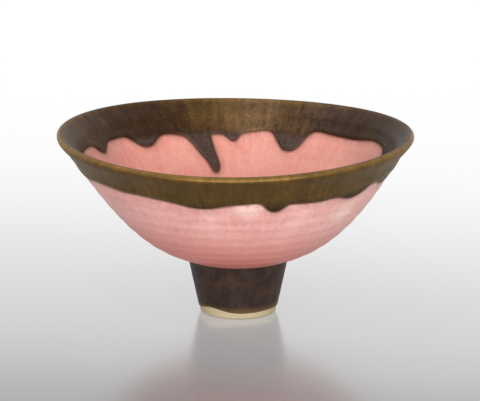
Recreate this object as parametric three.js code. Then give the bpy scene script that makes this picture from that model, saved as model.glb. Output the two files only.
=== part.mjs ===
// A hand-thrown stoneware bowl on a tall narrow foot.
// The clay bowl sits on a hollow clay foot, luted on with slip. Pink glaze covers the bowl inside and
// out, a bronze glaze runs down from the lip on both sides, and a dark glaze covers the foot.
// Millimetres, +Z up, the origin on the table under the centre of the rim.

import * as THREE from "three";

// Clay sizes
const rimRadius = 89.6; // outside of the clay wall at the lip
const rimHeight = 92.6; // crest of the clay lip above the table, on average round the rim
const lipThickness = 2.4; // the lip is a half round of this width
const lipRise = 8.5; // height of the flared zone under the crest
const lipInset = 5.9; // how far the wall has come in at the bottom of that zone
const lipSlope = 54; // degrees above level, at the lip
const wallSlope = 57.6; // degrees above level, where the wall meets the flared zone
const wallThickness = 3.2; // square to the wall, at the bottom of the flared zone
const bellyHandle = 29; // reach of the wall's straight upper part
const flareHandle = 26.5; // reach of the low flare that leaves the foot
const flareSlope = 12.3; // degrees above level, where the wall leaves the foot
const floorThickness = 5.6; // clay under the centre of the bowl
const floorHandle = 45; // reach of the level floor inside
const innerHandle = 33; // reach of the inner wall's straight upper part

// Foot sizes
const footHeight = 29.8; // table to the underside of the bowl
const footTopRadius = 25.6;
const footBaseRadius = 19.2;
const footWall = 4.8; // thickness of the hollow foot's wall
const footOuterEdge = 1.5; // bevel round the outside of the standing face
const footInnerEdge = 0.8; // bevel round its inside
const slipThickness = 0.6;

// Glaze sizes
const pinkCoat = 0.5;
const bronzeCoat = 0.45;
const bronzeEdge = 0.2; // thickness of the bronze where it ends
const footCoat = 0.45;
const footCoatEdge = 0.25; // thickness of the foot's coat where it ends
const bareClay = 3.2; // bare clay left above the table
const innerBand = 17; // reach of the bronze down the inside, measured along the wall
const outerBand = 18.9; // reach of the bronze down the outside
const bandWave = 0.9; // slow rise and fall of both edges

// The hand-thrown wobble. The lean fades out up to the lip, and the other three grow up to it.
const leanX = 1.35; // the foot stands this far to one side of the rim's centre
const dropX = 0.5; // the rim is this much lower at +X, and higher at -X
const saddle = 1.35; // the rim rises this much at both ends of one diameter, and sinks as much across it
const saddleTurn = -9; // degrees from +X to that diameter
const oval = 0.95; // the rim is this much wider along one diameter
const ovalTurn = 15; // degrees from +X to that diameter

// Runs in the bronze edge: degrees round from +X, extra reach down the wall as a share of the longest
// run's on that side, width in degrees at half that reach
const innerRun = 27; // extra reach of the longest run inside
const outerRun = 10; // extra reach of the longest run outside
const innerRuns = [
  { at: 67, share: 0.55, width: 15 },
  { at: 91, share: 0.12, width: 10 },
  { at: 106, share: 1, width: 12 },
  { at: 131, share: 0.3, width: 15 },
  { at: 156, share: 0.09, width: 12 },
  { at: 205, share: 0.55, width: 11 },
  { at: 247, share: 0.25, width: 13 },
  { at: 284, share: 0.68, width: 12 },
  { at: 322, share: 0.33, width: 14 },
  { at: 6, share: 0.2, width: 12 },
  { at: 100, share: 0.2, width: 46 },
];
const outerRuns = [
  { at: 284, share: 0.75, width: 8 },
  { at: 261, share: 0.28, width: 14 },
  { at: 225, share: 0.1, width: 10 },
  { at: 299, share: 0.28, width: 20 },
  { at: 319, share: 0.55, width: 12 },
  { at: 341, share: 0.18, width: 12 },
  { at: 318, share: 0.16, width: 44 },
  { at: 30, share: 0.8, width: 9 },
  { at: 74, share: 0.36, width: 13 },
  { at: 112, share: 1, width: 9 },
  { at: 160, share: 0.44, width: 12 },
  { at: 200, share: 0.35, width: 12 },
];

// Mesh steps
const columns = 72; // round the bowl
const lipSteps = [0, 0.7, 1.7]; // rings near the crest, in lengths of the lip's quarter round
const bandRings = 3; // rings from the rounded lip to the bronze edge
const wallRings = 6; // rings from the bronze edge to the end of the wall
const footRings = 3;

const radians = THREE.MathUtils.degToRad;

// Profiles, as points (radius, height)

const footCorner = new THREE.Vector2(footTopRadius, footHeight);
const crest = new THREE.Vector2(rimRadius - lipThickness / 2, rimHeight);
const lipDirection = heading(lipSlope);
const wallDirection = heading(wallSlope);
const flareDirection = heading(flareSlope);
const wallNormal = new THREE.Vector2(wallDirection.y, -wallDirection.x);

function heading(slope) {
  return new THREE.Vector2(Math.cos(radians(slope)), Math.sin(radians(slope)));
}

function along(point, direction, reach) {
  return point.clone().addScaledVector(direction, reach);
}

// Part of a round from the crest to the side of the lip, which leans with the wall, then a curve down to
// the shoulder, the point where the flared zone ends. side is 1 for the outside and -1 for the inside.
function lipPath(side, shoulder) {
  const round = lipThickness / 2;
  const turn = radians(lipSlope) - (side * Math.PI) / 2;
  const middle = new THREE.Vector2(crest.x, crest.y - round);
  const start = middle.clone().add(new THREE.Vector2(round, 0).rotateAround(new THREE.Vector2(), turn));
  const reach = start.distanceTo(shoulder) / 3;
  const upper = along(start, lipDirection, -reach);
  const lower = along(shoulder, wallDirection, reach);
  const path = new THREE.Path();
  path.absarc(middle.x, middle.y, round, Math.PI / 2, turn, side > 0);
  path.bezierCurveTo(upper.x, upper.y, lower.x, lower.y, shoulder.x, shoulder.y);
  return path;
}

function outerPath() {
  const shoulder = new THREE.Vector2(rimRadius - lipInset, rimHeight - lipRise);
  const path = lipPath(1, shoulder);
  const upper = along(shoulder, wallDirection, -bellyHandle);
  const lower = along(footCorner, flareDirection, flareHandle);
  path.bezierCurveTo(upper.x, upper.y, lower.x, lower.y, footCorner.x, footCorner.y);
  return path;
}

function innerPath() {
  const outerShoulder = new THREE.Vector2(rimRadius - lipInset, rimHeight - lipRise);
  const shoulder = along(outerShoulder, wallNormal, -wallThickness);
  const path = lipPath(-1, shoulder);
  const upper = along(shoulder, wallDirection, -innerHandle);
  const floor = footHeight + floorThickness;
  path.bezierCurveTo(upper.x, upper.y, floorHandle, floor, 0, floor);
  return path;
}

// A side of the clay wall. point(reach, depth) is the place reach millimetres down the wall from the
// crest and depth millimetres out of the clay.
function wallSide(path, side, length) {
  return {
    length,
    point(reach, depth) {
      const share = Math.min(reach / length, 1);
      const place = path.getPointAt(share);
      if (depth === 0) {
        return place;
      }
      const tangent = path.getTangentAt(share);
      const normal = new THREE.Vector2(-tangent.y, tangent.x).multiplyScalar(side);
      return along(place, reach === 0 ? new THREE.Vector2(0, 1) : normal, depth);
    },
  };
}

const outerWall = outerPath();
const innerWall = innerPath();
outerWall.arcLengthDivisions = 400;
innerWall.arcLengthDivisions = 400;
const outside = wallSide(outerWall, 1, outerWall.getLength());
const inside = wallSide(innerWall, -1, innerWall.getLength());

// The foot's outer face leans in from the corner under the bowl to its bevelled base.
const footFace = new THREE.Vector2(footBaseRadius - footTopRadius, -footHeight).normalize();

function footOuter(height) {
  return THREE.MathUtils.mapLinear(height, 0, footHeight, footBaseRadius, footTopRadius);
}

function footInner(height) {
  return footOuter(height) - footWall;
}

// Where the pink coat and the foot's coat meet, so far out of both clay faces.
function cornerPoint(pinkDepth, footDepth) {
  const sine = Math.abs(flareDirection.cross(footFace));
  return along(along(footCorner, flareDirection, footDepth / sine), footFace, pinkDepth / sine);
}

// Glaze edges

function bumps(runs, angle) {
  return runs.reduce((sum, run) => {
    const turn = THREE.MathUtils.euclideanModulo(angle - run.at + 180, 360) - 180;
    return sum + run.share * Math.exp(-Math.LN2 * Math.abs((2 * turn) / run.width) ** 2.6);
  }, 0);
}

function bandEdge(band, longest, runs, angle) {
  const wave = Math.sin(radians(3 * angle + 20)) + 0.6 * Math.sin(radians(7 * angle + 140));
  return band + bandWave * wave + longest * bumps(runs, angle);
}

// Rings and solids

// Moves a point of the perfect round bowl to where the potter's hands left it.
function thrown(radius, height, angle) {
  const turn = radians(angle);
  const rise = (height - footHeight) / (rimHeight - footHeight);
  const share = THREE.MathUtils.smoothstep(rise, 0, 1);
  const wide = radius + oval * share * (radius / rimRadius) * Math.cos(2 * (turn - radians(ovalTurn)));
  const x = wide * Math.cos(turn);
  const y = wide * Math.sin(turn);
  const saddleLift = saddle * radius * Math.cos(2 * (turn - radians(saddleTurn)));
  const lift = (saddleLift - dropX * x) / rimRadius;
  return new THREE.Vector3(x + leanX * (1 - share ** 2), y, height + share * lift);
}

// A ring of points, one for each column. place(angle) gives a point (radius, height).
function ring(place) {
  return Array.from({ length: columns }, (_, column) => {
    const angle = (360 * column) / columns;
    const { x: radius, y: height } = place(angle);
    return thrown(radius, height, angle);
  });
}

function roundRing(radius, height) {
  return ring(() => new THREE.Vector2(radius, height));
}

function pole(height) {
  return [thrown(0, height, 0)];
}

// Four corners as two triangles, split along the shorter diagonal, so that two faces that touch are
// split alike.
function quad(points, a, b, c, d) {
  const split = points[a].distanceToSquared(points[c]) <= points[b].distanceToSquared(points[d]);
  return split ? [a, b, c, a, c, d] : [a, b, d, b, c, d];
}

// A closed solid from rings in order, with the solid on the left of the way the profile runs. The
// profile starts and ends at a pole, or its last ring joins its first.
function solidOfRings(rings) {
  const points = rings.flat();
  const starts = [];
  rings.reduce((start, one) => {
    starts.push(start);
    return start + one.length;
  }, 0);
  const closed = rings[0].length > 1;
  const faces = [];
  for (let i = 0; i < rings.length - (closed ? 0 : 1); i += 1) {
    const next = (i + 1) % rings.length;
    for (let j = 0; j < columns; j += 1) {
      const k = (j + 1) % columns;
      const [a, b] = [starts[i] + j, starts[i] + k];
      const [c, d] = [starts[next] + k, starts[next] + j];
      if (rings[i].length === 1) {
        faces.push(starts[i], c, d);
      } else if (rings[next].length === 1) {
        faces.push(a, b, starts[next]);
      } else {
        faces.push(...quad(points, a, b, c, d));
      }
    }
  }
  const geometry = new THREE.BufferGeometry().setFromPoints(points);
  geometry.setIndex(faces);
  geometry.computeVertexNormals();
  return geometry;
}

// Reaches of the rings down a side of the wall, from the crest to the bronze edge. edge(angle) is the
// reach of the bronze. The rings of the rounded lip stay level, and the ones below follow that edge.
function bandReaches(edge) {
  const steps = lipSteps.map((step) => (step * Math.PI * lipThickness) / 4);
  const lip = steps[steps.length - 1];
  const reaches = steps.map((step) => () => step);
  for (let i = 1; i <= bandRings; i += 1) {
    reaches.push((angle) => THREE.MathUtils.lerp(lip, edge(angle), i / bandRings));
  }
  return reaches;
}

// The same from the crest to the end of the wall. Clay and coats share these rings, so that they touch
// face to face.
function wallReaches(edge, length) {
  const reaches = bandReaches(edge);
  for (let i = 1; i <= wallRings; i += 1) {
    reaches.push((angle) => THREE.MathUtils.lerp(edge(angle), length, i / wallRings));
  }
  return reaches;
}

// Rings down a side of the wall, so far out of the clay.
function sideRings(side, reaches, depth) {
  return reaches.map((reach) => ring((angle) => side.point(reach(angle), depth)));
}

const innerEdge = (angle) => bandEdge(innerBand, innerRun, innerRuns, angle);
const outerEdge = (angle) => bandEdge(outerBand, outerRun, outerRuns, angle);

// Materials

const stoneware = new THREE.MeshStandardMaterial({ color: 0xcfc2ab, roughness: 0.9, metalness: 0 });
const slip = new THREE.MeshStandardMaterial({ color: 0xbfae94, roughness: 0.95, metalness: 0 });
const pinkGlaze = new THREE.MeshStandardMaterial({ color: 0xe2a498, roughness: 0.42, metalness: 0 });
const bronzeGlaze = new THREE.MeshStandardMaterial({ color: 0x6b4f2c, roughness: 0.4, metalness: 0.35 });
const darkGlaze = new THREE.MeshStandardMaterial({ color: 0x33251f, roughness: 0.5, metalness: 0.2 });

function piece(name, geometry, material) {
  const mesh = new THREE.Mesh(geometry, material);
  mesh.name = name;
  return mesh;
}

// Pieces

// The thrown bowl: up the inside from the floor, over the lip, down the outside and across the base.
function bowlBody() {
  const up = wallReaches(innerEdge, inside.length).slice(0, -1).reverse();
  const down = wallReaches(outerEdge, outside.length).slice(1);
  const rings = [
    pole(footHeight + floorThickness),
    ...sideRings(inside, up, 0),
    ...sideRings(outside, down, 0),
    roundRing(footInner(footHeight), footHeight),
    pole(footHeight),
  ];
  return piece("bowl_body", solidOfRings(rings.reverse()), stoneware);
}

// The slip that holds the bowl on the foot.
function slipSeam() {
  const low = footHeight - slipThickness;
  const rings = [
    roundRing(footOuter(low), low),
    roundRing(footOuter(footHeight), footHeight),
    roundRing(footInner(footHeight), footHeight),
    roundRing(footInner(low), low),
  ];
  return piece("slip_seam", solidOfRings(rings), slip);
}

// The hollow turned foot, with its standing face bevelled on both edges.
function footRing() {
  const top = footHeight - slipThickness;
  const rings = [
    roundRing(footOuter(0) - footOuterEdge, 0),
    roundRing(footOuter(footOuterEdge), footOuterEdge),
  ];
  for (let i = 0; i <= footRings; i += 1) {
    const height = THREE.MathUtils.lerp(bareClay, top, i / footRings);
    rings.push(roundRing(footOuter(height), height));
  }
  rings.push(
    roundRing(footInner(top), top),
    roundRing(footInner(footInnerEdge), footInnerEdge),
    roundRing(footInner(0) + footInnerEdge, 0),
  );
  return piece("foot_ring", solidOfRings(rings), stoneware);
}

// The pink lining, from the crest of the lip to the middle of the floor.
function insideGlaze() {
  const down = wallReaches(innerEdge, inside.length).slice(0, -1);
  const floor = footHeight + floorThickness;
  const rings = [
    pole(floor + pinkCoat),
    ...sideRings(inside, down, pinkCoat).reverse(),
    ...sideRings(inside, down, 0),
    pole(floor),
  ];
  return piece("inside_glaze", solidOfRings(rings.reverse()), pinkGlaze);
}

// The pink coat outside, from the crest of the lip to the corner above the foot.
function outsideGlaze() {
  const down = wallReaches(outerEdge, outside.length);
  const corner = cornerPoint(pinkCoat, footCoat);
  const rings = [
    ...sideRings(outside, down, 0).reverse(),
    ...sideRings(outside, down.slice(0, -1), pinkCoat),
    roundRing(corner.x, corner.y),
  ];
  return piece("outside_glaze", solidOfRings(rings.reverse()), pinkGlaze);
}

// The bronze glaze over the lip, on top of both pink coats, with its runs.
function rimGlaze() {
  const onInside = bandReaches(innerEdge).slice(1);
  const onOutside = bandReaches(outerEdge);
  const over = (side, reaches) => [
    ...sideRings(side, reaches.slice(0, -1), pinkCoat + bronzeCoat),
    ...sideRings(side, reaches.slice(-1), pinkCoat + bronzeEdge),
  ];
  const rings = [
    ...sideRings(inside, onInside, pinkCoat).reverse(),
    ...sideRings(outside, onOutside, pinkCoat),
    ...over(outside, onOutside).reverse(),
    ...over(inside, onInside),
  ];
  return piece("rim_glaze", solidOfRings(rings), bronzeGlaze);
}

// The dark coat on the foot, from the corner under the bowl to the band of bare clay.
function footGlaze() {
  const out = new THREE.Vector2(-footFace.y, footFace.x);
  const top = footHeight - slipThickness;
  const corner = cornerPoint(pinkCoat, footCoat);
  const heights = [footHeight];
  for (let i = 0; i <= footRings; i += 1) {
    heights.push(THREE.MathUtils.lerp(top, bareClay, i / footRings));
  }
  const face = (height, depth) => along(new THREE.Vector2(footOuter(height), height), out, depth);
  const onClay = heights.map((height) => roundRing(footOuter(height), height));
  const onTop = heights.slice(2).map((height) => {
    const place = face(height, height === bareClay ? footCoatEdge : footCoat);
    return roundRing(place.x, place.y);
  });
  const rings = [...onClay, ...onTop.reverse(), roundRing(corner.x, corner.y)];
  return piece("foot_glaze", solidOfRings(rings), darkGlaze);
}

const bowl = new THREE.Group();
bowl.name = "footed_bowl";
bowl.add(
  bowlBody(),
  footRing(),
  slipSeam(),
  insideGlaze(),
  outsideGlaze(),
  rimGlaze(),
  footGlaze(),
);

export default bowl;
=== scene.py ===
import math

import bpy
import numpy as np
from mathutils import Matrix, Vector

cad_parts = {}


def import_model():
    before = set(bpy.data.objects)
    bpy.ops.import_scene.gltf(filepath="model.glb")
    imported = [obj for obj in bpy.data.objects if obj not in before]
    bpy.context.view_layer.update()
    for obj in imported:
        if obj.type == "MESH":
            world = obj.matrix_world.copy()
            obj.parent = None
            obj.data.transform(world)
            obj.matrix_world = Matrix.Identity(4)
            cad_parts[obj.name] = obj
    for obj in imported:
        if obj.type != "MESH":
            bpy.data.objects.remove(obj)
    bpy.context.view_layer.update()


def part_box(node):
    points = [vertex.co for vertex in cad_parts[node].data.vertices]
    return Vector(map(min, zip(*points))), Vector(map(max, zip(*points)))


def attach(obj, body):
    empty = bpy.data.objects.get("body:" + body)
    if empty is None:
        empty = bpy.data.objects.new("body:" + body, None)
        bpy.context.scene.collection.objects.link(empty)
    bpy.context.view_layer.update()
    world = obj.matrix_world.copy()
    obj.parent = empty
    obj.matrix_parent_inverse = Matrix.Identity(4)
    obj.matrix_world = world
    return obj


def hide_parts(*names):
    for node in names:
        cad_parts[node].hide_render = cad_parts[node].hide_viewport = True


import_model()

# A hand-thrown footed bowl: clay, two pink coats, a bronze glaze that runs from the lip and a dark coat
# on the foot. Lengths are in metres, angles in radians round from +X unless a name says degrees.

MM = 0.001

COLUMNS = 600
TURNS = np.arange(COLUMNS) * math.tau / COLUMNS

# Points of a wall's table over its lip, neck and belly
LIP_POINTS, NECK_POINTS, BELLY_POINTS = 32, 120, 900

# Rows of points down the walls and the foot
CLAY_ROWS = 70
UNDER_ROWS = 26
HIDDEN_ROWS = 8
PINK_ROWS = 104
BRONZE_ROWS = 64
FOOT_ROWS = 40
FOOT_COAT_ROWS = 60

# Sizes that the frame gives
body_low, body_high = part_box("bowl_body")
seam_low, seam_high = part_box("slip_seam")
FOOT_X = (seam_high.x + seam_low.x) / 2
FOOT_HEIGHT = seam_high.z
SEAM_HEIGHT = seam_low.z
FOOT_TOP_RADIUS = (seam_high.x - seam_low.x) / 2
LIP_THICKNESS = 2.4 * MM
LIP_FACETS = 0.13 * MM  # the solid's flat-sided lip falls this short of the round one
RIM_RADIUS = (body_high.x - body_low.x + body_high.y - body_low.y) / 4 + LIP_FACETS

# The wobble of the throwing, which grows from the foot to the rim
DROP = 0.5 * MM  # lower at +X
SADDLE = 1.35 * MM  # higher at both ends of one diameter and lower across it
SADDLE_TURN = math.radians(-9)
OVAL = 0.95 * MM
OVAL_TURN = math.radians(15)

# The clay
RIM_LIFT = (SADDLE * np.cos(2 * (TURNS - SADDLE_TURN)) - DROP * np.cos(TURNS)).max()
RIM_HEIGHT = body_high.z - RIM_LIFT * (1 - LIP_THICKNESS / 2 / RIM_RADIUS)
LIP_RISE = 8.5 * MM
LIP_INSET = 5.9 * MM
LIP_SLOPE = math.radians(54)
WALL_SLOPE = math.radians(57.6)
WALL_THICKNESS = 3.2 * MM
BELLY_HANDLE = 29 * MM
FLARE_HANDLE = 26.5 * MM
FLARE_SLOPE = math.radians(12.3)
FLOOR_THICKNESS = 5.6 * MM
FLOOR_HANDLE = 45 * MM
INNER_HANDLE = 33 * MM
FOOT_BASE_RADIUS = 19.2 * MM
FOOT_WALL = 4.8 * MM
OUTER_FOOT_EDGE = 1.5 * MM
INNER_FOOT_EDGE = 0.8 * MM

# The glazes
PINK = 0.5 * MM
BRONZE = 0.45 * MM
FOOT_COAT = 0.45 * MM
BARE_CLAY = 3.2 * MM
INNER_BAND = 17 * MM
OUTER_BAND = 18.9 * MM
BAND_WAVE = 0.9 * MM
EDGE_WAVER = 0.35 * MM
EDGE_ROUNDING = 1.7  # in columns
SUNK = 0.12 * MM  # how far a coat's edge is let into what it lies on

# Runs in the bronze: degrees round from +X, share of the longest run's reach, swing of the tip in degrees,
# and width in degrees. A share below zero pulls the edge up, and a wide run lowers the band as a whole.
INNER_RUN = 27 * MM
OUTER_RUN = 10 * MM
INNER_RUNS = [
    (67, 0.5, 0, 12), (92, 0.18, 0, 5.5), (107.5, 0.86, -7, 7), (131, 0.27, 0, 11), (158, 0.22, 0, 8),
    (205, 0.55, 1, 8), (247, 0.25, 0, 10), (284, 0.73, -2, 7), (322, 0.33, 0, 11), (6, 0.2, 0, 9),
    (112, 0.07, 0, 7), (24, -0.05, 0, 13), (100, 0.2, 0, 46),
]
OUTER_RUNS = [
    (284, 0.72, 0, 7), (257, 0.32, 0, 17), (225, 0.1, 0, 9), (299, 0.28, 0, 20), (319, 0.55, 0, 12),
    (338, 0.32, 0, 8), (318, 0.16, 0, 44), (30, 0.8, 0, 7), (74, 0.36, 0, 10), (112, 1, 0, 7),
    (160, 0.44, 0, 9), (200, 0.35, 0, 10),
]
INNER_GLAZING = (INNER_BAND, INNER_RUN, INNER_RUNS)
OUTER_GLAZING = (OUTER_BAND, OUTER_RUN, OUTER_RUNS)
LEAN_SPREAD = 3.5  # the columns lean over this many widths of a run that leans
FAR = 1.0  # further than any point is from the bronze's edge

# Relief
MARK_HEIGHT = 0.1 * MM
MARK_SPACING = 7.5 * MM
SLOW_SWELL = 0.035 * MM  # of the pink coats, like the next
FINE_SWELL = 0.012 * MM
COAT_SWELL = 0.03 * MM  # of the bronze and the foot's coat
PINK_ROLL = 0.35 * MM  # where the pink gathers over the foot
FOOT_ROLL = 0.45 * MM  # where the foot's coat gathers under the bowl
FOOT_SHORT = 0.2 * MM  # the foot's coat stops this far under the bowl
RAISED_EDGE = 2.1 * MM  # the foot's coat stops this much higher at one place
TURNING_LINE = 0.06 * MM


# Profiles and walls

def pair(x, y):
    """A point or a direction in a profile: along the radius and up."""
    return np.array([x, y], float)


def heading(angle):
    """The direction that rises from the level by an angle: its cosine and its sine."""
    return pair(math.cos(angle), math.sin(angle))


def bezier(a, b, c, d, count):
    """A cubic curve as count points: it leaves a towards b and reaches d from the side of c."""
    t = np.linspace(0, 1, count)[:, None]
    return (1 - t) ** 3 * a + 3 * (1 - t) ** 2 * t * b + 3 * (1 - t) * t ** 2 * c + t ** 3 * d


def smooth(x):
    """Zero below 0, one above 1, and between them 3x squared less 2x cubed."""
    x = np.clip(x, 0, 1)
    return x * x * (3 - 2 * x)


FOOT_CORNER = pair(FOOT_TOP_RADIUS, FOOT_HEIGHT)
OUTER_SHOULDER = pair(RIM_RADIUS - LIP_INSET, RIM_HEIGHT - LIP_RISE)
LIP_HEADING = heading(LIP_SLOPE)
WALL_HEADING = heading(WALL_SLOPE)
WALL_NORMAL = pair(WALL_HEADING[1], -WALL_HEADING[0])
INNER_SHOULDER = OUTER_SHOULDER - WALL_NORMAL * WALL_THICKNESS
FLOOR = FOOT_HEIGHT + FLOOR_THICKNESS


class Wall:
    """One side of the clay wall, as a table of points down from the crest with the lengths between them.

    The profile is part of a circle over the lip, round to where it leans with the wall, then a cubic curve
    to the shoulder and another to its end. side is 1 outside and -1 inside, and normals point out of the
    clay.
    """

    def __init__(self, side, shoulder, low_handle, end, high_handle):
        lip_radius = LIP_THICKNESS / 2
        middle = pair(RIM_RADIUS - lip_radius, RIM_HEIGHT - lip_radius)
        sweep = np.linspace(0, LIP_SLOPE if side < 0 else math.pi - LIP_SLOPE, LIP_POINTS)[:, None]
        lip = middle + lip_radius * np.hstack([side * np.sin(sweep), np.cos(sweep)])
        start = lip[-1]
        handle = np.linalg.norm(start - shoulder) / 3
        over = shoulder + WALL_HEADING * handle
        under = shoulder - WALL_HEADING * high_handle
        neck = bezier(start, start - LIP_HEADING * handle, over, shoulder, NECK_POINTS)
        belly = bezier(shoulder, under, low_handle, end, BELLY_POINTS)
        self.points = np.concatenate([lip, neck[1:], belly[1:]])
        steps = np.linalg.norm(np.diff(self.points, axis=0), axis=1)
        self.lengths = np.concatenate([[0], np.cumsum(steps)])
        self.length = self.lengths[-1]
        along = np.gradient(self.points, self.lengths, axis=0)
        along /= np.linalg.norm(along, axis=1)[:, None]
        self.normals = side * np.stack([-along[:, 1], along[:, 0]], 1)
        self.side = side

    def at(self, reach, depth):
        """The radius and height a reach down the wall and a depth out of the clay, read off the table."""
        radius, height = (np.interp(reach, self.lengths, self.points[:, i]) for i in (0, 1))
        out_radius, out_height = (np.interp(reach, self.lengths, self.normals[:, i]) for i in (0, 1))
        return radius + out_radius * depth, height + out_height * depth


FLARE = FOOT_CORNER + heading(FLARE_SLOPE) * FLARE_HANDLE
OUTSIDE = Wall(1, OUTER_SHOULDER, FLARE, FOOT_CORNER, BELLY_HANDLE)
INSIDE = Wall(-1, INNER_SHOULDER, pair(FLOOR_HANDLE, FLOOR), pair(0, FLOOR), INNER_HANDLE)


def thrown(radius, height, turns):
    """Points of the round bowl moved to where the potter's hands left them.

    Up from the foot, a share that eases from 0 to 1 takes the rim back over the origin. It widens the rim
    and lifts it, each as the cosine of twice the turn, and tilts it in step with x.
    """
    share = smooth((height - FOOT_HEIGHT) / (RIM_HEIGHT - FOOT_HEIGHT))
    wide = radius + OVAL * share * radius / RIM_RADIUS * np.cos(2 * (turns - OVAL_TURN))
    x, y = wide * np.cos(turns), wide * np.sin(turns)
    lift = (SADDLE * radius * np.cos(2 * (turns - SADDLE_TURN)) - DROP * x) / RIM_RADIUS
    return np.stack([x + FOOT_X * (1 - share ** 2), y, height + share * lift], -1)


# Glaze edges and relief

def run_shape(turns, at, width, length=0.0):
    """One in the middle of a run and half at half its width: 2 to minus a power of the turn away over that
    half width. The power grows with the length, so a long run has steep sides and a blunt tip."""
    half = math.radians(width) / 2
    away = (turns - math.radians(at) + math.pi) % math.tau - math.pi
    return 0.5 ** (np.abs(away / half) ** (2.2 + 0.7 * length / (half * RIM_RADIUS)))


def edge_reach(band, longest, runs, seed):
    """How far down the bronze reaches at each column: its band, two slow waves round the rim and finer
    ones at random, and every run's reach, all rounded off over about a degree."""
    waves = np.sin(3 * TURNS + math.radians(20)) + 0.6 * np.sin(7 * TURNS + math.radians(140))
    reach = band + BAND_WAVE * waves
    reach = reach + EDGE_WAVER * field(1, 7, 1, seed)[0]
    for at, share, _, width in runs:
        reach = reach + longest * share * run_shape(TURNS, at, width, longest * share)
    nearby = np.arange(-5, 6)
    weights = np.exp(-((nearby / EDGE_ROUNDING) ** 2) / 2)
    return sum(weight * np.roll(reach, shift) for weight, shift in zip(weights / weights.sum(), nearby))


def swing(band, longest, runs, turns, reach):
    """The angle by which the columns lean at a reach, so that a leaning run leans: each run's own swing
    times its shape, growing evenly from the band's edge to the run's tip."""
    total = np.zeros(np.broadcast(turns, reach).shape)
    for at, share, degrees, width in runs:
        if degrees:
            down = np.clip((reach - band) / (longest * share), 0, 1)
            total = total + math.radians(degrees) * down * run_shape(turns, at, LEAN_SPREAD * width)
    return total


def edge_distance(wall, edge, rows):
    """How far each point of a grid of reaches is from the bronze's edge, above zero within the bronze.

    The edge is looked at in steps of a sixth of a column for 7 columns both ways, 6.6 mm at the rim. The
    distance to a step's point is the root of the squared way across the wall and the squared way down it,
    the second only where the edge is further on. The least of them counts.
    """
    steps, span = 6, 7
    column = np.arange(COLUMNS * steps) / steps
    fine = np.interp(column, np.arange(COLUMNS + 1), np.append(edge, edge[0]))
    radius, _ = wall.at(rows, 0)
    nearest = np.full(rows.shape, FAR)
    inside = rows <= edge
    for step in range(-span * steps, span * steps + 1):
        other = fine[(np.arange(COLUMNS) * steps + step) % len(fine)]
        ahead = np.where(inside, other - rows, rows - other)
        across = radius * math.tau / COLUMNS * step / steps
        nearest = np.minimum(nearest, np.hypot(across, np.maximum(ahead, 0)))
    return np.where(inside, nearest, -nearest)


def field(rows, across, down, seed):
    """A smooth random field, periodic round the bowl: white noise of one grid cell per sample, with its
    waves finer than across columns and down rows faded out as a Gaussian, scaled to unit spread."""
    noise = np.random.default_rng(seed).standard_normal((rows * 2, COLUMNS))
    fx = np.fft.fftfreq(COLUMNS)[None, :] * across
    fy = np.fft.fftfreq(rows * 2)[:, None] * down
    soft = np.fft.ifft2(np.fft.fft2(noise) * np.exp(-2 * math.pi ** 2 * (fx ** 2 + fy ** 2))).real[:rows]
    return soft / soft.std()


def lobe(at, width):
    """One at a turn of at degrees, falling off on both sides as a Gaussian, to 1/e at width degrees."""
    return np.exp(-(((TURNS - math.radians(at)) / math.radians(width)) ** 2))


def ridge(distance, at, width):
    """One at a distance of at millimetres, falling off on both sides as a Gaussian, to 1/e at width
    millimetres."""
    return np.exp(-(((distance / MM - at) / width) ** 2))


def wheel_marks(wall, reach, turns):
    """The low spiral ridges that fingers leave: a cosine down the wall that moves on by one ridge a turn,
    faded out at both ends."""
    ends = smooth(reach / (14 * MM)) * smooth((wall.length - reach) / (12 * MM))
    return MARK_HEIGHT * ends * np.cos(math.tau * reach / MARK_SPACING + wall.side * turns)


def surface(wall, reach, depth):
    """Points on a wall for arrays of reach and depth: wheel marks add to the depth, and leaning runs to the
    turn."""
    turns = TURNS + swing(*(INNER_GLAZING if wall is INSIDE else OUTER_GLAZING), TURNS, reach)
    radius, height = wall.at(reach, depth + wheel_marks(wall, reach, turns))
    return thrown(radius, height, turns)


def rows_between(first, last, count, power=1.0):
    """count rows of reach from first to last, both of them per column. For a power over 1 they are bunched
    at first, by a share raised to that power."""
    share = np.linspace(0, 1, count)[:, None] ** power
    return first + (last - first) * share


# Meshes

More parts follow.
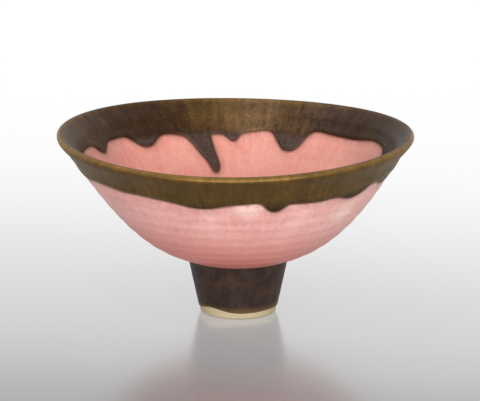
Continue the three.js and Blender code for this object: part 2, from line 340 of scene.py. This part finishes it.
def closed_mesh(name, rings, marks=None):
    """A closed mesh from rings of points in order, joined by quads. A ring of one point is a pole, joined
    by triangles. With no poles the last ring joins the first. marks are numbers for each point by name."""
    rings = [np.asarray(ring, float).reshape(-1, 3) for ring in rings]
    starts = np.concatenate([[0], np.cumsum([len(ring) for ring in rings])])
    column = np.arange(COLUMNS)
    beside = (column + 1) % COLUMNS
    quads, triangles = [], []
    last = len(rings) if len(rings[0]) > 1 else len(rings) - 1
    for i in range(last):
        j = (i + 1) % len(rings)
        a, b = starts[i], starts[j]
        if len(rings[i]) == 1:
            triangles.append(np.stack([np.full(COLUMNS, a), b + beside, b + column], 1))
        elif len(rings[j]) == 1:
            triangles.append(np.stack([a + column, a + beside, np.full(COLUMNS, b)], 1))
        else:
            quads.append(np.stack([a + column, a + beside, b + beside, b + column], 1))
    quads = np.concatenate(quads)
    triangles = np.concatenate(triangles) if triangles else np.zeros((0, 3), int)
    mesh = bpy.data.meshes.new(name)
    points = np.concatenate(rings)
    mesh.vertices.add(len(points))
    mesh.vertices.foreach_set("co", points.astype(np.float32).ravel())
    mesh.loops.add(quads.size + triangles.size)
    order = np.concatenate([quads.ravel(), triangles.ravel()])
    mesh.loops.foreach_set("vertex_index", order.astype(np.int32))
    mesh.polygons.add(len(quads) + len(triangles))
    corners = np.concatenate([np.full(len(quads), 4), np.full(len(triangles), 3)])
    mesh.polygons.foreach_set("loop_start", (np.cumsum(corners) - corners).astype(np.int32))
    mesh.polygons.foreach_set("use_smooth", np.ones(len(corners), bool))
    for mark, values in (marks or {}).items():
        spread = [np.broadcast_to(value, len(ring)) for value, ring in zip(values, rings)]
        layer = mesh.attributes.new(mark, "FLOAT", "POINT")
        layer.data.foreach_set("value", np.concatenate(spread).astype(np.float32))
    mesh.update(calc_edges=True)
    mesh.validate()
    return mesh


def piece(name, node, mesh, finish):
    """A new object for the mesh, riding on the root body and standing for a node of the frame."""
    shown = bpy.data.objects.new(name, mesh)
    bpy.context.scene.collection.objects.link(shown)
    mesh.materials.append(finish)
    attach(shown, "root")
    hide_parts(node)


def level(radius, height):
    """One ring of the bowl or the foot at the same radius and height all round."""
    return thrown(np.full(COLUMNS, radius), np.full(COLUMNS, height), TURNS)


def pole(height):
    """The one point on the axis at a height."""
    return thrown(np.zeros(1), np.full(1, height), np.zeros(1))


# Materials

# Colours as seen on screen, 0 to 255
# The foot's clay is darker than the bowl's: partly its own tone, partly painted shade where it meets the
# table.
BOWL_TONE, FOOT_TONE_AND_SHADE, SLIP_TONE = (214, 203, 182), (190, 174, 140), (190, 174, 150)
IRON_SPECK = (110, 78, 52)
SHADED_PINK = (196, 140, 126)
HIGHLIGHT_PINK = (250, 218, 208)
PINK_SPECK = (170, 98, 84)
BLED_PINK = (160, 104, 84)
EDGE_STAIN = (104, 68, 44)
BRONZE_TONES = [(0.0, (42, 27, 19)), (0.3, (66, 47, 28)), (0.6, (102, 80, 44)), (1.0, (148, 110, 58))]
RAN_GREY = (96, 77, 71)
BRONZE_FRINGE = (104, 66, 40)
BRONZE_PIT = (38, 26, 18)
DARK_TONE, DARK_CLOUD, DARK_FRINGE = (40, 25, 20), (63, 43, 31), (112, 84, 50)
TABLE_LIT, TABLE_SEEN = (205, 206, 206), (112, 113, 113)
WHITE = (1, 1, 1, 1)
BLACK = (0, 0, 0, 1)
ASHEN_TINT = (1.12, 1.12, 1.75)
WARM_TINT = (1.03, 0.9, 0.75)


class Value:
    """A number on a node's socket. Arithmetic on it adds Math nodes."""

    def __init__(self, finish, socket):
        self.finish = finish
        self.socket = socket

    def _math(self, operation, first, second):
        """The output of a new Math node."""
        return self.finish.node("ShaderNodeMath", {"operation": operation}, {0: first, 1: second})

    def __add__(self, other):
        return self._math("ADD", self, other)

    def __sub__(self, other):
        return self._math("SUBTRACT", self, other)

    def __rsub__(self, other):
        return self._math("SUBTRACT", other, self)

    def __mul__(self, other):
        return self._math("MULTIPLY", self, other)

    def __truediv__(self, other):
        return self._math("DIVIDE", self, other)

    __radd__ = __add__
    __rmul__ = __mul__


class Finish:
    """The nodes of a material, or of the world, and the few kinds of node that they are made of."""

    def __init__(self, name, around=False):
        self.owner = bpy.data.worlds.new(name) if around else bpy.data.materials.new(name)
        self.owner.use_nodes = True
        self.tree = self.owner.node_tree
        self.tree.nodes.clear()
        self.place = self.node("ShaderNodeTexCoord", output="Generated" if around else "Object")

    def node(self, kind, settings=None, sockets=None, output=0):
        """Adds a node, sets its settings, then fills its sockets, and returns one of its outputs."""
        made = self.tree.nodes.new(kind)
        for setting, value in (settings or {}).items():
            if setting == "stops":
                self._stops(made.color_ramp, value)
            else:
                setattr(made, setting, value)
        for socket, value in (sockets or {}).items():
            if isinstance(value, Value):
                self.tree.links.new(value.socket, made.inputs[socket])
            elif value is not None:
                made.inputs[socket].default_value = value
        return Value(self, made.outputs[output]) if made.outputs else None

    def _stops(self, ramp, stops):
        """Sets a ramp's stops, each a position and a colour."""
        while len(ramp.elements) < len(stops):
            ramp.elements.new(0.5)
        for element, (position, colour) in zip(ramp.elements, stops):
            element.position = position
            element.color = colour

    def mark(self, name):
        """The numbers that the mesh holds for each point by that name."""
        return self.node("ShaderNodeAttribute", {"attribute_name": name}, output="Fac")

    def fade(self, value, low, high):
        """Zero at low, one at high, and smooth between them."""
        sockets = {"Value": value, "From Min": low, "From Max": high}
        return self.node("ShaderNodeMapRange", {"interpolation_type": "SMOOTHSTEP"}, sockets)

    def noise(self, size, detail=2.0, place=None, rough=0.5, distort=0.0):
        """Noise about 0.5, with features of about size metres."""
        sockets = {
            "Vector": place or self.place, "Scale": 1 / size, "Detail": detail,
            "Roughness": rough, "Distortion": distort,
        }
        return self.node("ShaderNodeTexNoise", None, sockets)

    def dots(self, size, low, high):
        """One within low of many scattered points size metres apart, and zero beyond high of them, both as
        shares of size."""
        away = self.node("ShaderNodeTexVoronoi", None, {"Vector": self.place, "Scale": 1 / size})
        return 1 - self.fade(away, low, high)

    def mix(self, first, second, share):
        """The first colour where share is 0, the second where it is 1."""
        settings = {"data_type": "RGBA"}
        return self.node("ShaderNodeMix", settings, {0: share, 6: first, 7: second}, output=2)

    def vector(self, operation, first, second=None, output="Vector"):
        """An output of a new Vector Math node, also for colours."""
        return self.node("ShaderNodeVectorMath", {"operation": operation}, {0: first, 1: second}, output)

    def bump(self, height, distance):
        """The normal of a surface raised by a distance where height is 1."""
        return self.node("ShaderNodeBump", None, {"Height": height, "Distance": distance, "Strength": 1.0})

    def surface(self, sockets):
        """Closes the material with a Principled shader, and returns it."""
        shader = self.node("ShaderNodeBsdfPrincipled", None, sockets)
        self.node("ShaderNodeOutputMaterial", None, {"Surface": shader})
        return self.owner

    def part(self, axis):
        """One coordinate of the place."""
        return self.node("ShaderNodeSeparateXYZ", None, {"Vector": self.place}, output=axis)

    def shown(self):
        """One where the camera or a gloss looks at the surface, else 0."""
        seen = self.node("ShaderNodeLightPath", output="Is Camera Ray")
        mirrored = self.node("ShaderNodeLightPath", output="Is Glossy Ray")
        return self.node("ShaderNodeMath", {"operation": "MAXIMUM"}, {0: seen, 1: mirrored})


def paint(red, green, blue):
    """A colour as seen on screen, 0 to 255, in the linear values that a shader takes."""
    share = np.array([red, green, blue]) / 255
    linear = np.where(share <= 0.04045, share / 12.92, ((share + 0.055) / 1.055) ** 2.4)
    return (*linear.tolist(), 1.0)


def down_flow(finish, across, down):
    """Places for streaks that run down the wall: the direction from the axis at the rim's radius, with
    height shrunk so that a feature across metres wide is down metres long."""
    flat = finish.vector("MULTIPLY", finish.place, (1, 1, 0))
    around = finish.vector("NORMALIZE", flat)
    ring = finish.vector("MULTIPLY", around, (RIM_RADIUS, RIM_RADIUS, 0))
    drop = finish.vector("MULTIPLY", finish.place, (0, 0, across / down))
    return finish.vector("ADD", ring, drop)


def clay_finish(name, tone):
    """Bare fired stoneware: fine grain, a few iron specks and turning lines too fine to model."""
    f = Finish(name)
    grain = f.noise(0.7 * MM, 4, rough=0.7)
    cloud = f.noise(9 * MM, 3)
    speck = f.dots(2.2 * MM, 0.08, 0.16)
    colour = f.mix(paint(*tone), paint(*(0.86 * np.array(tone))), cloud)
    colour = f.mix(colour, paint(*(1.05 * np.array(tone)).clip(0, 255)), grain)
    colour = f.mix(colour, paint(*IRON_SPECK), speck * 0.55)
    lines = f.node("ShaderNodeTexWave", {"bands_direction": "Z"}, {
        "Vector": f.place, "Scale": 1 / (5 * MM), "Distortion": 2.0, "Detail": 2.0})
    height = grain * 0.7 + lines * 0.3
    return f.surface({
        "Base Color": colour, "Roughness": 0.86, "Normal": f.bump(height, 0.08 * MM),
        "Specular IOR Level": 0.35,
    })


def pink_finish(name, light, deep, blush, pool_and_shade, end_shade, highlight_spots):
    """Satin pink glaze: mottled, pinholed, with small specks, with painted light that makes it paler
    towards
    +X, deeper low in or on the bowl where the glaze pools and where shade is painted, darker at its two
    ends on X by a share of painted shade, stained where the bronze bleeds in, and with painted highlights
    round the highlight spots, which are places in millimetres."""
    f = Finish(name)
    below = f.mark("below_edge")
    height_up = f.part("Z") / MM
    across = f.part("X") / MM
    streak = f.noise(3 * MM, 3, down_flow(f, 3 * MM, 14 * MM))
    cloud = f.noise(22 * MM, 3, rough=0.55, distort=0.4)
    mottle = f.noise(2.6 * MM, 4, rough=0.65)
    colour = f.mix(paint(*light), paint(*deep), f.fade(cloud * 0.65 + mottle * 0.35, 0.34, 0.66))
    colour = f.mix(colour, paint(*blush), f.fade(streak, 0.45, 0.8) * 0.35)
    # Painted light: paler towards +X, the side that the light falls on more.
    colour = f.mix(colour, paint(*blush), f.fade(across + (cloud - 0.5) * 40, -20, 70) * 0.2)
    # Painted shade: darker at the two ends on X, where the inner wall catches less light.
    colour = f.mix(colour, paint(*SHADED_PINK), f.fade(across * across, 2400, 4400) * end_shade)
    # Deeper and darker low down: partly glaze that pools there, partly painted shade low on the bowl and
    # near the foot.
    pooled_and_shaded = 1 - f.fade(height_up + 0.07 * across + (cloud - 0.5) * 12, 35, 64)
    colour = f.mix(colour, paint(*pool_and_shade), pooled_and_shaded * 0.85)
    # Painted highlights: pale spots at the given places under the outside band.
    for x, y, z in highlight_spots:
        away = f.vector("DISTANCE", f.place, (x * MM, y * MM, z * MM), output="Value") / MM
        thin = 1 - f.fade(away + (mottle - 0.5) * 6, 2, 11)
        colour = f.mix(colour, paint(*HIGHLIGHT_PINK), thin * 0.6)
    speck = f.dots(1.9 * MM, 0.1, 0.22)
    colour = f.mix(colour, paint(*PINK_SPECK), speck * f.fade(mottle, 0.38, 0.62) * 0.6)
    bleed = (1 - f.fade(below / MM, -0.5, 5.5)) * f.fade(streak, 0.3, 0.62)
    colour = f.mix(colour, paint(*BLED_PINK), bleed * 0.5)
    halo = 1 - f.fade(below / MM, 0.1, 1.5)
    colour = f.mix(colour, paint(*EDGE_STAIN), halo * 0.7)
    pinhole = f.dots(2.7 * MM, 0.03, 0.1)
    height = f.noise(1.2 * MM, 2) * 0.35 + f.noise(5 * MM, 2) * 0.65 - pinhole * 0.5
    return f.surface({
        "Base Color": colour, "Roughness": 0.36 + 0.16 * mottle, "Normal": f.bump(height, 0.12 * MM),
        "Specular IOR Level": 0.4,
    })


def bronze_finish(name):
    """Running oxide glaze: near black where thick, golden brown where it thins over the lip, streaked the
    way that it flowed and pitted, with a metal sheen. Inside, it is ashen in places and warmer in the rest,
    and grey where it ran."""
    f = Finish(name)
    inward = f.mark("inward") / MM
    reach = f.mark("reach") / MM
    gold = f.mark("gold")
    ashen = f.mark("ashen")
    warm = f.mark("warm")
    ran = f.mark("ran")
    streak = f.noise(3 * MM, 3, down_flow(f, 3 * MM, 16 * MM), distort=0.6)
    cloud = f.noise(8 * MM, 4, rough=0.6)
    mottle = f.noise(1.5 * MM, 4, rough=0.7)
    grain = f.noise(0.7 * MM, 3)
    thin = (1 - f.fade(reach, 0.4, 4.0)) * 0.2
    share = gold + thin + (streak - 0.5) * 0.5 + (cloud - 0.5) * 0.55 + (mottle - 0.5) * 0.7
    pit = f.dots(2.3 * MM, 0.06, 0.16)
    stops = [(at, paint(*tone)) for at, tone in BRONZE_TONES]
    colour = f.node("ShaderNodeValToRGB", {"stops": stops}, {"Fac": share})
    colour = f.mix(colour, f.vector("MULTIPLY", colour, ASHEN_TINT), ashen)
    colour = f.mix(colour, f.vector("MULTIPLY", colour, WARM_TINT), warm)
    colour = f.mix(colour, paint(*RAN_GREY), ran * (0.3 + 0.6 * f.fade(mottle, 0.3, 0.7)))
    fringe = 1 - f.fade(inward, 0.0, 1.1)
    colour = f.mix(colour, paint(*BRONZE_FRINGE), fringe * 0.7)
    colour = f.mix(colour, paint(*BRONZE_PIT), pit * 0.6)
    height = grain * 0.25 + streak * 0.35 + mottle * 0.4 - pit * 0.6
    return f.surface({
        "Base Color": colour, "Roughness": 0.34 + 0.3 * mottle,
        "Metallic": 0.6 + 0.3 * f.fade(share, 0.2, 0.9), "Normal": f.bump(height, 0.12 * MM),
        "Specular IOR Level": 0.25,
    })


def dark_finish(name):
    """The foot's dark oxide coat: brown-black, clouded and streaked, golden where it thins at its edge."""
    f = Finish(name)
    height_up = f.part("Z") / MM
    cloud = f.noise(6 * MM, 4)
    grain = f.noise(0.8 * MM, 3)
    streak = f.noise(2.5 * MM, 4, down_flow(f, 2.5 * MM, 8 * MM), rough=0.6, distort=0.5)
    clouded = f.fade(cloud * 0.6 + streak * 0.4, 0.38, 0.66)
    colour = f.mix(paint(*DARK_TONE), paint(*DARK_CLOUD), clouded)
    thin = 1 - f.fade(height_up + (streak - 0.5) * 3, 3.4, 7.5)
    colour = f.mix(colour, paint(*DARK_FRINGE), thin * 0.75)
    return f.surface({
        "Base Color": colour, "Roughness": 0.45 + 0.2 * grain, "Metallic": 0.1,
        "Normal": f.bump(grain * 0.6 + cloud * 0.4, 0.12 * MM), "Specular IOR Level": 0.35,
    })


# Pieces

INNER_EDGE = edge_reach(*INNER_GLAZING, 61)
OUTER_EDGE = edge_reach(*OUTER_GLAZING, 62)


def pink_depth(wall, reach, seed):
    """The pink coat's thickness: even, with slow and fine random swells that fade out at both ends."""
    rows = len(reach)
    slow = field(rows, 40, 14, seed)
    fine = field(rows, 5, 3, seed + 1)
    fade = smooth(reach / (6 * MM)) * smooth((wall.length - reach) / (10 * MM))
    return PINK + fade * (SLOW_SWELL * slow + FINE_SWELL * fine)


def bowl_body(finish):
    """The clay bowl, closed at both poles: up the inside, over the lip, down the outside and under."""
    inner = rows_between(np.zeros(COLUMNS), np.full(COLUMNS, INSIDE.length), CLAY_ROWS, 1.3)[1:-1]
    outer = rows_between(np.zeros(COLUMNS), np.full(COLUMNS, OUTSIDE.length), CLAY_ROWS, 1.3)
    under = [level(FOOT_TOP_RADIUS * share, FOOT_HEIGHT) for share in np.linspace(0.96, 0.04, 16)]
    rings = [pole(FOOT_HEIGHT), *under[::-1], *surface(OUTSIDE, outer, 0)[::-1],
             *surface(INSIDE, inner, 0), pole(FLOOR)]
    piece("bowl_clay", "bowl_body", closed_mesh("bowl_clay", rings), finish)


def inside_glaze(finish):
    """The pink lining: its top from the crest to the floor, and its underside on the clay."""
    end = np.full(COLUMNS, INSIDE.length)
    hidden = rows_between(np.zeros(COLUMNS), INNER_EDGE, HIDDEN_ROWS)[:-1]
    shown = rows_between(INNER_EDGE, end, PINK_ROWS, 1.35)[:-1]
    top = np.concatenate([hidden, shown])
    depth = pink_depth(INSIDE, top, 11)
    clay = rows_between(np.zeros(COLUMNS), end, UNDER_ROWS)[:-1]
    rings = [pole(FLOOR - SUNK), *surface(INSIDE, clay, -SUNK)[::-1],
             *surface(INSIDE, top, depth), pole(FLOOR + PINK)]
    below = [0, *np.zeros((len(clay), 1)), *-edge_distance(INSIDE, INNER_EDGE, top), FAR]
    mesh = closed_mesh("inside_glaze", rings, {"below_edge": below})
    piece("pink_lining", "inside_glaze", mesh, finish)


def foot_line(height):
    """The foot's radius at a height, along a straight line from its base to its top."""
    return FOOT_BASE_RADIUS + (FOOT_TOP_RADIUS - FOOT_BASE_RADIUS) * height / FOOT_HEIGHT


def outside_glaze(finish):
    """The pink coat outside: its underside on the clay, and its top from the crest down to the corner
    over the foot, where it thickens into a soft roll and turns in behind the foot's coat."""
    end = np.full(COLUMNS, OUTSIDE.length)
    hidden = rows_between(np.zeros(COLUMNS), OUTER_EDGE, HIDDEN_ROWS)[:-1]
    shown = rows_between(OUTER_EDGE, end, PINK_ROWS)
    top = np.concatenate([hidden, shown])
    roll = PINK_ROLL * ridge(OUTSIDE.length - top, 2.6, 1.5)
    depth = pink_depth(OUTSIDE, top, 21) + roll
    clay = rows_between(np.zeros(COLUMNS), end, UNDER_ROWS)
    tuck = level(foot_line(FOOT_HEIGHT) - SUNK, FOOT_HEIGHT - PINK)
    rings = [*surface(OUTSIDE, top, depth), tuck, *surface(OUTSIDE, clay, -SUNK)[::-1]]
    below = [*-edge_distance(OUTSIDE, OUTER_EDGE, top), FAR, *np.zeros((len(clay), 1))]
    mesh = closed_mesh("outside_glaze", rings[::-1], {"below_edge": below[::-1]})
    piece("pink_coat", "outside_glaze", mesh, finish)


def bronze_depth(inward, reach, run):
    """The bronze coat's thickness by its distance up from its own edge: it rises from the edge as one less
    a falling exponential, has a bead just inside the edge that is fuller in a run, and thins on the lip."""
    rise = 1 - np.exp(-inward / (0.7 * MM))
    bead = (0.12 + 0.4 * run) * MM * ridge(inward, 2.0, 1.6)
    body = BRONZE * (0.45 + 0.55 * smooth(reach / (6 * MM)))
    return rise * (body + bead) - SUNK * (1 - smooth(inward / (0.5 * MM)))


def rim_glaze(finish):
    """The bronze over the lip: its underside let into the pink, and its top up the inside run edge, over
    the crest and down the outside."""
    top, under, marks = [], [], []
    for wall, edge, seed in ((INSIDE, INNER_EDGE, 31), (OUTSIDE, OUTER_EDGE, 41)):
        rows = edge - rows_between(np.zeros(COLUMNS), edge, BRONZE_ROWS, 1.5)
        inward = edge_distance(wall, edge, rows)
        run = np.clip((edge - edge.min()) / (14 * MM), 0, 1)
        depth = PINK + bronze_depth(inward, rows, run)
        swell = COAT_SWELL * field(len(rows), 4, 12, seed)
        depth = depth + smooth(inward / (3 * MM)) * smooth(rows / (5 * MM)) * swell
        low = rows_between(edge, np.zeros(COLUMNS), HIDDEN_ROWS)
        top.append(surface(wall, rows, depth))
        under.append(surface(wall, low, PINK - 2 * SUNK))
        gold = gold_share(wall) * (1 - 0.6 * smooth((rows - INNER_BAND) / (8 * MM)))
        within = float(wall is INSIDE)
        ashen = np.maximum(lobe(82, 15), lobe(54, 17)) * within
        ran = smooth((rows - INNER_BAND - 1.5 * MM) / (5 * MM)) * within
        marks.append({
            "inward": inward, "reach": rows, "gold": gold, "ran": ran,
            "ashen": np.broadcast_to(ashen, rows.shape),
            "warm": np.broadcast_to(within - ashen, rows.shape)})
    rings = [*top[0], *top[1][-2::-1], *under[1], *under[0][-2::-1]]
    zero = [np.zeros(COLUMNS)] * (len(under[0]) + len(under[1]) - 1)
    joined = {name: [*marks[0][name], *marks[1][name][-2::-1], *zero] for name in marks[0]}
    mesh = closed_mesh("rim_glaze", rings, joined)
    piece("bronze_glaze", "rim_glaze", mesh, finish)


def gold_share(wall):
    """How golden the bronze is round the rim: inside it is dark but for three golden stretches, the
    strongest at the back, and outside it is nearly even."""
    if wall is OUTSIDE:
        return 0.65 - 0.02 * np.cos(2 * TURNS)
    return 0.17 + 0.45 * lobe(86, 24) + 0.14 * lobe(165, 22) + 0.35 * lobe(262, 34)


def foot_glaze(finish):
    """The foot's coat: its face from the corner under the bowl down to a wavering edge over bare clay,
    where its thickness falls to nothing as a quarter circle, and its back let into the clay. Under the
    bowl it gathers in a Gaussian roll."""
    edge = BARE_CLAY + 0.22 * MM * field(1, 22, 1, 51)[0]
    edge = edge + RAISED_EDGE * lobe(226, 27)
    share = np.linspace(0, 1, FOOT_COAT_ROWS)[:, None] ** 0.8
    top = FOOT_HEIGHT - FOOT_SHORT
    height = top - (top - edge) * share
    up = np.clip((height - edge) / (1.2 * MM), 0, 1)
    depth = FOOT_COAT * np.sqrt(1 - (1 - up) ** 2) - SUNK * (1 - smooth(up * 3))
    depth = depth + smooth(up) * COAT_SWELL * field(len(share), 8, 6, 52)
    roll = FOOT_ROLL * ridge(FOOT_HEIGHT - height, 1.0, 1.6)
    face = thrown(foot_line(height) + depth + roll, height, TURNS)
    back_height = [SEAM_HEIGHT, (SEAM_HEIGHT + BARE_CLAY) / 2]
    back = [level(foot_line(h) - 2 * SUNK, h) for h in back_height]
    low = thrown(foot_line(edge) - 2 * SUNK, edge, TURNS)
    high = level(foot_line(FOOT_HEIGHT) - 2 * SUNK, top)
    rings = [high, *back, low, *face[::-1]]
    piece("dark_glaze", "foot_glaze", closed_mesh("foot_glaze", rings), finish)


def foot_ring(finish):
    """The hollow foot: up the outer face, across the joint, down the leaning inner wall, where turning left
    fine sine-shaped lines, and round the standing face, whose two edges are quarter circles."""
    arc = np.linspace(0, math.pi / 2, 9)
    turned = OUTER_FOOT_EDGE
    outer = [(foot_line(turned) - turned * (1 - math.sin(a)), turned * (1 - math.cos(a))) for a in arc]
    faces = [(foot_line(h), h) for h in np.linspace(turned, SEAM_HEIGHT, FOOT_ROWS)[1:]]
    eased = INNER_FOOT_EDGE
    inner_foot = foot_line(eased) - FOOT_WALL
    inside = [(foot_line(h) - FOOT_WALL + TURNING_LINE * math.sin(h / (0.9 * MM)), h)
              for h in np.linspace(SEAM_HEIGHT, eased, FOOT_ROWS)]
    inner = [(inner_foot + eased * (1 - math.cos(a)), eased * (1 - math.sin(a))) for a in arc[1:]]
    rings = [level(radius, height) for radius, height in [*outer, *faces, *inside, *inner]]
    piece("foot_clay", "foot_ring", closed_mesh("foot_ring", rings), finish)


def slip_seam(finish):
    """The slip between bowl and foot: a flat ring whose inner side swells into the hollow, as half an
    ellipse."""
    half = (FOOT_HEIGHT - SEAM_HEIGHT) / 2
    arc = np.linspace(math.pi / 2, -math.pi / 2, 9)
    outer = foot_line(SEAM_HEIGHT)
    swell = [(outer - FOOT_WALL - 1.2 * half * math.cos(a), SEAM_HEIGHT + half * (1 + math.sin(a)))
             for a in arc]
    profile = [(outer, SEAM_HEIGHT), (outer, FOOT_HEIGHT), *swell]
    rings = [level(radius, height) for radius, height in profile]
    piece("slip", "slip_seam", closed_mesh("slip_seam", rings), finish)


bowl_body(clay_finish("bowl_clay", BOWL_TONE))
foot_ring(clay_finish("foot_clay", FOOT_TONE_AND_SHADE))
slip_seam(clay_finish("slip", SLIP_TONE))
inside_glaze(pink_finish(
    "pink_lining", light=(243, 172, 155), deep=(230, 148, 134), blush=(248, 194, 180), pool_and_shade=(216, 124, 110),
    end_shade=0.5, highlight_spots=[]))
outside_glaze(pink_finish(
    "pink_coat", light=(234, 180, 172), deep=(218, 152, 146), blush=(242, 196, 188), pool_and_shade=(206, 118, 110),
    end_shade=0.0, highlight_spots=[(7, -78, 73), (54, -46, 64)]))
rim_glaze(bronze_finish("bronze_glaze"))
foot_glaze(dark_finish("dark_glaze"))

# Floor and backdrop

FLOOR_REACH = 6.0
GLOW_START, GLOW_SPAN = -0.2, 0.65
GLOW_SKEW = 0.2  # how far back a metre to the right counts
GLOWS = [
    (-0.2, 0.05), (-0.14, 0.13), (-0.1, 0.207), (-0.035, 0.294), (0.05, 0.36), (0.2, 0.5), (0.3, 0.562),
    (0.45, 0.587),
]  # metres back from the foot, and how bright the table glows there


def floor_finish():
    """A pale glossy table. The camera and glosses see it lit from within as well, more so further back, as
    a lit sweep is: grey in front and white far behind. The object's shadow stays on it."""
    f = Finish("table")
    depth = f.part("Y") + GLOW_SKEW * f.part("X")
    shown = f.shown()
    stops = [((at - GLOW_START) / GLOW_SPAN, (light, light, light, 1)) for at, light in GLOWS]
    glow = f.node("ShaderNodeValToRGB", {"stops": stops}, {"Fac": (depth - GLOW_START) / GLOW_SPAN})
    colour = f.mix(paint(*TABLE_LIT), paint(*TABLE_SEEN), shown)
    table = f.node("ShaderNodeBsdfPrincipled", None, {
        "Base Color": colour, "Roughness": 0.2, "IOR": 1.62, "Specular IOR Level": 0.9,
        "Emission Color": f.mix(BLACK, glow, shown), "Emission Strength": 1.0})
    f.node("ShaderNodeOutputMaterial", None, {"Surface": table})
    return f.owner


def floor():
    """The table, one square about the foot."""
    mesh = bpy.data.meshes.new("table")
    r = FLOOR_REACH
    mesh.from_pydata([(-r, -r, 0), (r, -r, 0), (r, r, 0), (-r, r, 0)], [], [(0, 1, 2, 3)])
    table = bpy.data.objects.new("table", mesh)
    bpy.context.scene.collection.objects.link(table)
    mesh.materials.append(floor_finish())


floor()

# Light

FRONT_LIGHT = 0.95
BACK_LIGHT = 0.4
FULL_FRONT, NO_FRONT = -0.8, 0.3  # a direction's share of +Y where front light is full, and where it ends
FRONT_LOOK = 0.3  # how much less white the surroundings look in front
LAMP_AIM = Vector((0, 0, 0.05))
LAMPS = [
    ("overhead", (-0.7, 0.1, 1.4), 1.2, 1.2, 2.5),
    ("front", (0.2, -1.7, 0.8), 1.2, 1.2, 5),
    ("low_front", (0.15, -1.7, 0.38), 2.4, 0.7, 21),
]  # name, place, width and height in metres, and power in watts


def lamp(name, place, width, height, power):
    """An area lamp at a place, turned to face the middle of the bowl."""
    light = bpy.data.lights.new(name, "AREA")
    light.shape = "RECTANGLE"
    light.size = width
    light.size_y = height
    light.energy = power
    shown = bpy.data.objects.new(name, light)
    bpy.context.scene.collection.objects.link(shown)
    towards = LAMP_AIM - Vector(place)
    shown.rotation_mode = "QUATERNION"
    shown.rotation_quaternion = towards.to_track_quat("-Z", "Y")
    shown.location = place


def world():
    """White surroundings that light the bowl more from the camera's side, and show white behind it."""
    f = Finish("studio", around=True)
    front = 1 - f.fade(f.part("Y"), FULL_FRONT, NO_FRONT)
    light = BACK_LIGHT + (FRONT_LIGHT - BACK_LIGHT) * front
    look = 1 - FRONT_LOOK * front
    strength = light + (look - light) * f.shown()
    background = f.node("ShaderNodeBackground", None, {"Color": WHITE, "Strength": strength})
    f.node("ShaderNodeOutputWorld", None, {"Surface": background})
    bpy.context.scene.world = f.owner


world()
for settings in LAMPS:
    lamp(*settings)

# Camera

CAMERA_DISTANCE = 2.0
CAMERA_ELEVATION = math.radians(14.58)
PICTURE_WIDTH = 480
PICTURE_HEIGHT = 401
FOCAL_PIXELS = 3896
SENSOR = 36.0
AIM_HEIGHT = 48 * MM
AIM_X, AIM_Y = 235.0, 219.0  # pixel at which the photograph shows the point AIM_HEIGHT above the origin


def camera():
    """The camera on the -Y side, level from left to right, with its picture shifted to the aim's pixel."""
    made = bpy.data.cameras.new("camera")
    made.sensor_width = SENSOR
    made.lens = FOCAL_PIXELS / PICTURE_WIDTH * SENSOR
    made.shift_x = ((PICTURE_WIDTH - 1) / 2 - AIM_X) / PICTURE_WIDTH
    made.shift_y = (AIM_Y - (PICTURE_HEIGHT - 1) / 2) / PICTURE_WIDTH
    shown = bpy.data.objects.new("camera", made)
    bpy.context.scene.collection.objects.link(shown)
    shown.location = (0, -CAMERA_DISTANCE * math.cos(CAMERA_ELEVATION),
                      AIM_HEIGHT + CAMERA_DISTANCE * math.sin(CAMERA_ELEVATION))
    shown.rotation_euler = (math.pi / 2 - CAMERA_ELEVATION, 0, 0)
    bpy.context.scene.camera = shown
    bpy.context.scene.view_settings.view_transform = "Standard"


camera()
